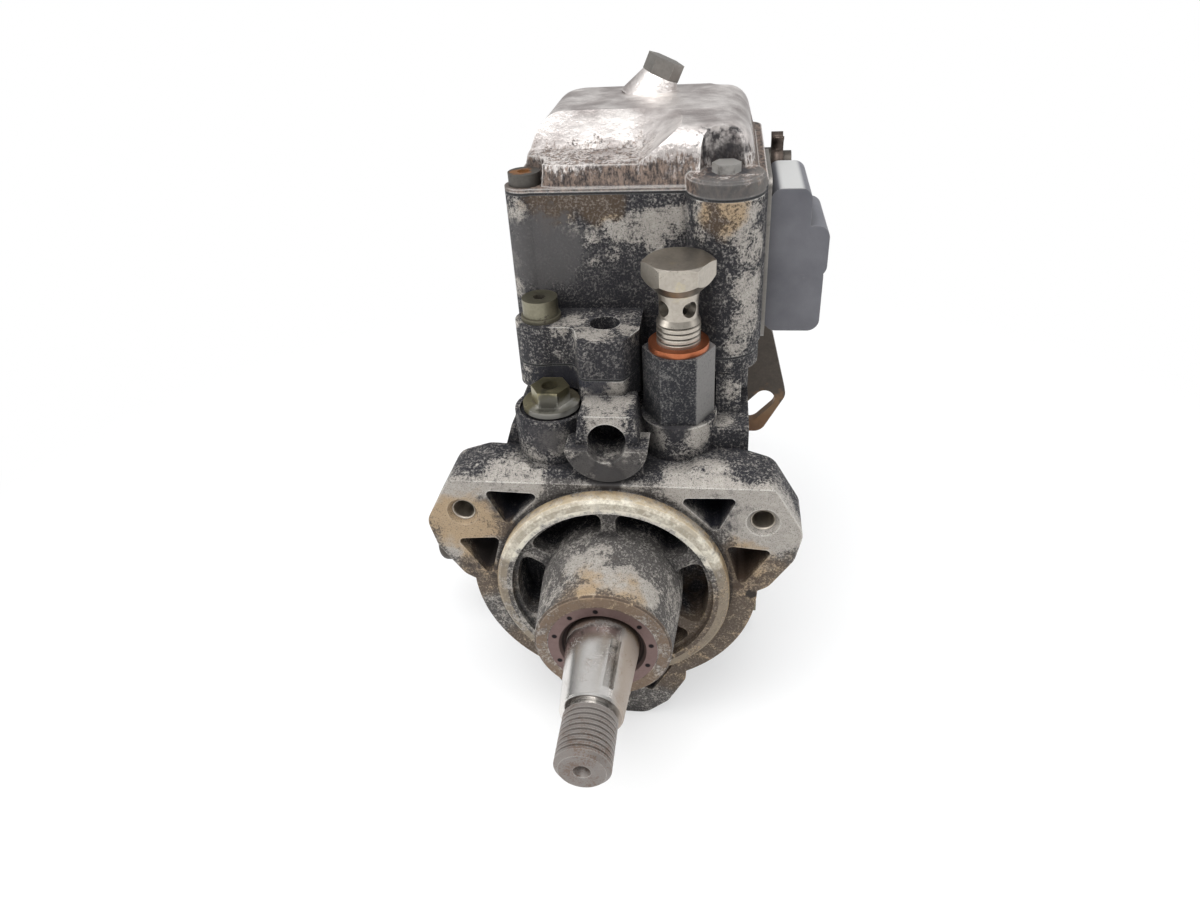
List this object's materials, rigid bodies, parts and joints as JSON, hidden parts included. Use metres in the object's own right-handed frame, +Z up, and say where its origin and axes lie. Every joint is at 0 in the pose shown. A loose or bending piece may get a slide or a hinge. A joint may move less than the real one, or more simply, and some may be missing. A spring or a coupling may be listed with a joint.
{
  "type": "fuel injection pump",
  "caption": "Distributor fuel injection pump for a diesel engine: tapered drive shaft, ribbed pilot flange, actuator housing on top, hollow inlet bolt, outlet holders behind.",
  "frame": {"origin": "where the drive shaft's axis meets the flange's mounting face", "axes": "-Y along the drive shaft, out of the drive end; +Z up towards the actuator housing; +X to the right as seen from the drive end"},
  "size_m": [0.1283, 0.2136, 0.1877],
  "materials": {
    "cast_black": "worn black paint over cast aluminium",
    "cast_bright": "bare cast aluminium, bright and stained",
    "steel_bright": "ground steel",
    "steel_dark": "blackened steel",
    "zinc_yellow": "yellow zinc plated steel",
    "copper": "copper",
    "seal_steel": "stained steel case",
    "bronze": "bearing bronze",
    "gasket": "black gasket",
    "coil": "lacquered winding",
    "connector_plastic": "grey-black moulded plastic",
    "spring_steel": "spring steel"
  },
  "bodies": {
    "housing": {"pump_housing": "cast_black", "shaft_seal": "seal_steel", "shaft_bush": "bronze", "feed_pump_ring": "steel_bright", "feed_pump_cover": "steel_bright", "feed_pump_screws": "steel_dark", "plunger_springs": "spring_steel", "distributor_head": "steel_dark", "distributor_barrel": "steel_bright", "head_plug": "steel_dark", "delivery_holders": "steel_dark", "delivery_springs": "spring_steel", "shutoff_body": "zinc_yellow", "shutoff_spring": "spring_steel", "timing_spring": "spring_steel", "timing_cover_left": "cast_black", "timing_cover_right": "cast_black", "timing_cover_screws": "zinc_yellow", "timing_valve": "steel_dark", "actuator_housing": "cast_black", "actuator_gasket": "gasket", "cover_gasket": "gasket", "actuator_cover": "cast_bright", "return_plug": "steel_bright", "return_pipe": "steel_dark", "cover_screws": "zinc_yellow", "housing_screws": "zinc_yellow", "actuator_core": "steel_dark", "actuator_coil": "coil", "inlet_union": "steel_dark", "inlet_washer": "copper", "inlet_bolt": "zinc_yellow", "pressure_valve_body": "zinc_yellow", "pressure_valve_spring": "spring_steel", "connector_plate": "steel_bright", "connector_body": "connector_plastic", "support_bracket": "steel_dark"},
    "drive_shaft": {"drive_shaft": "steel_bright", "feed_pump_rotor": "steel_bright", "feed_pump_vanes": "steel_bright", "coupling_disc": "steel_bright"},
    "cam_plunger": {"cam_plate": "steel_bright", "plunger": "steel_bright"},
    "yoke": {"spring_yoke": "steel_bright"},
    "collar": {"control_collar": "steel_bright"},
    "quantity_rotor": {"actuator_rotor": "steel_bright"},
    "timing_ring": {"roller_ring": "steel_bright", "roller_pins": "steel_bright", "timing_pin": "steel_bright"},
    "timing_plunger": {"timing_piston": "steel_bright"},
    "shutoff_core": {"shutoff_armature": "steel_bright"},
    "pressure_piston": {"pressure_valve_piston": "steel_bright"},
    "roller_1": {"cam_roller_1": "steel_bright"},
    "outlet_valve_1": {"delivery_valve_1": "steel_bright"},
    "roller_2": {"cam_roller_2": "steel_bright"},
    "outlet_valve_2": {"delivery_valve_2": "steel_bright"},
    "roller_3": {"cam_roller_3": "steel_bright"},
    "outlet_valve_3": {"delivery_valve_3": "steel_bright"},
    "roller_4": {"cam_roller_4": "steel_bright"},
    "outlet_valve_4": {"delivery_valve_4": "steel_bright"}
  },
  "joints": [
    {"name": "shaft_turn", "type": "hinge", "parent": "housing", "child": "drive_shaft", "pos_m": [0, 0, 0], "axis": [0, 1, 0], "continuous": true},
    {"name": "plunger_stroke", "type": "slide", "parent": "drive_shaft", "child": "cam_plunger", "axis": [0, 1, 0], "range_m": [-0.0028, 0]},
    {"name": "yoke_stroke", "type": "slide", "parent": "housing", "child": "yoke", "axis": [0, 1, 0], "range_m": [-0.0028, 0], "deforming": ["plunger_springs"]},
    {"name": "timing_turn", "type": "hinge", "parent": "housing", "child": "timing_ring", "pos_m": [0, 0.055, 0], "axis": [0, -1, 0], "range_deg": [0, 11.7]},
    {"name": "timing_slide", "type": "slide", "parent": "housing", "child": "timing_plunger", "axis": [1, 0, 0], "range_m": [0, 0.009], "deforming": ["timing_spring"]},
    {"name": "quantity_turn", "type": "hinge", "parent": "housing", "child": "quantity_rotor", "pos_m": [0.004, 0.088, 0], "axis": [0, 0, 1], "range_deg": [-28, 28]},
    {"name": "collar_slide", "type": "slide", "parent": "housing", "child": "collar", "axis": [0, 1, 0], "range_m": [-0.00196, 0.00196]},
    {"name": "shutoff_lift", "type": "slide", "parent": "housing", "child": "shutoff_core", "axis": [0, 0, 1], "range_m": [0, 0.0015], "stiffness_N_per_m": 100, "springref_m": -0.001, "deforming": ["shutoff_spring"]},
    {"name": "pressure_lift", "type": "slide", "parent": "housing", "child": "pressure_piston", "axis": [0, 0, 1], "range_m": [0, 0.003], "stiffness_N_per_m": 50, "springref_m": -0.001, "deforming": ["pressure_valve_spring"]},
    {"name": "roller_1_turn", "type": "hinge", "parent": "timing_ring", "child": "roller_1", "pos_m": [0, 0.0582, 0], "axis": [0.7071, 0, 0.7071], "continuous": true},
    {"name": "roller_2_turn", "type": "hinge", "parent": "timing_ring", "child": "roller_2", "pos_m": [0, 0.0582, 0], "axis": [-0.7071, 0, 0.7071], "continuous": true},
    {"name": "roller_3_turn", "type": "hinge", "parent": "timing_ring", "child": "roller_3", "pos_m": [0, 0.0582, 0], "axis": [-0.7071, 0, -0.7071], "continuous": true},
    {"name": "roller_4_turn", "type": "hinge", "parent": "timing_ring", "child": "roller_4", "pos_m": [0, 0.0582, 0], "axis": [0.7071, 0, -0.7071], "continuous": true},
    {"name": "outlet_1_lift", "type": "slide", "parent": "housing", "child": "outlet_valve_1", "axis": [0, 1, 0], "range_m": [0, 0.0025], "stiffness_N_per_m": 50, "springref_m": -0.001, "deforming": ["delivery_springs"]},
    {"name": "outlet_2_lift", "type": "slide", "parent": "housing", "child": "outlet_valve_2", "axis": [0, 1, 0], "range_m": [0, 0.0025], "stiffness_N_per_m": 50, "springref_m": -0.001, "deforming": ["delivery_springs"]},
    {"name": "outlet_3_lift", "type": "slide", "parent": "housing", "child": "outlet_valve_3", "axis": [0, 1, 0], "range_m": [0, 0.0025], "stiffness_N_per_m": 50, "springref_m": -0.001, "deforming": ["delivery_springs"]},
    {"name": "outlet_4_lift", "type": "slide", "parent": "housing", "child": "outlet_valve_4", "axis": [0, 1, 0], "range_m": [0, 0.0025], "stiffness_N_per_m": 50, "springref_m": -0.001, "deforming": ["delivery_springs"]}
  ],
  "couplings": [
    {"joint": "yoke_stroke", "follows": "plunger_stroke", "ratio": 1},
    {"joint": "timing_slide", "follows": "timing_turn", "m_per_rad": 0.044},
    {"joint": "collar_slide", "follows": "quantity_turn", "m_per_rad": -0.004},
    {"joint": "roller_1_turn", "follows": "shaft_turn", "ratio": -4.5455},
    {"joint": "roller_2_turn", "follows": "shaft_turn", "ratio": -4.5455},
    {"joint": "roller_3_turn", "follows": "shaft_turn", "ratio": -4.5455},
    {"joint": "roller_4_turn", "follows": "shaft_turn", "ratio": -4.5455}
  ]
}
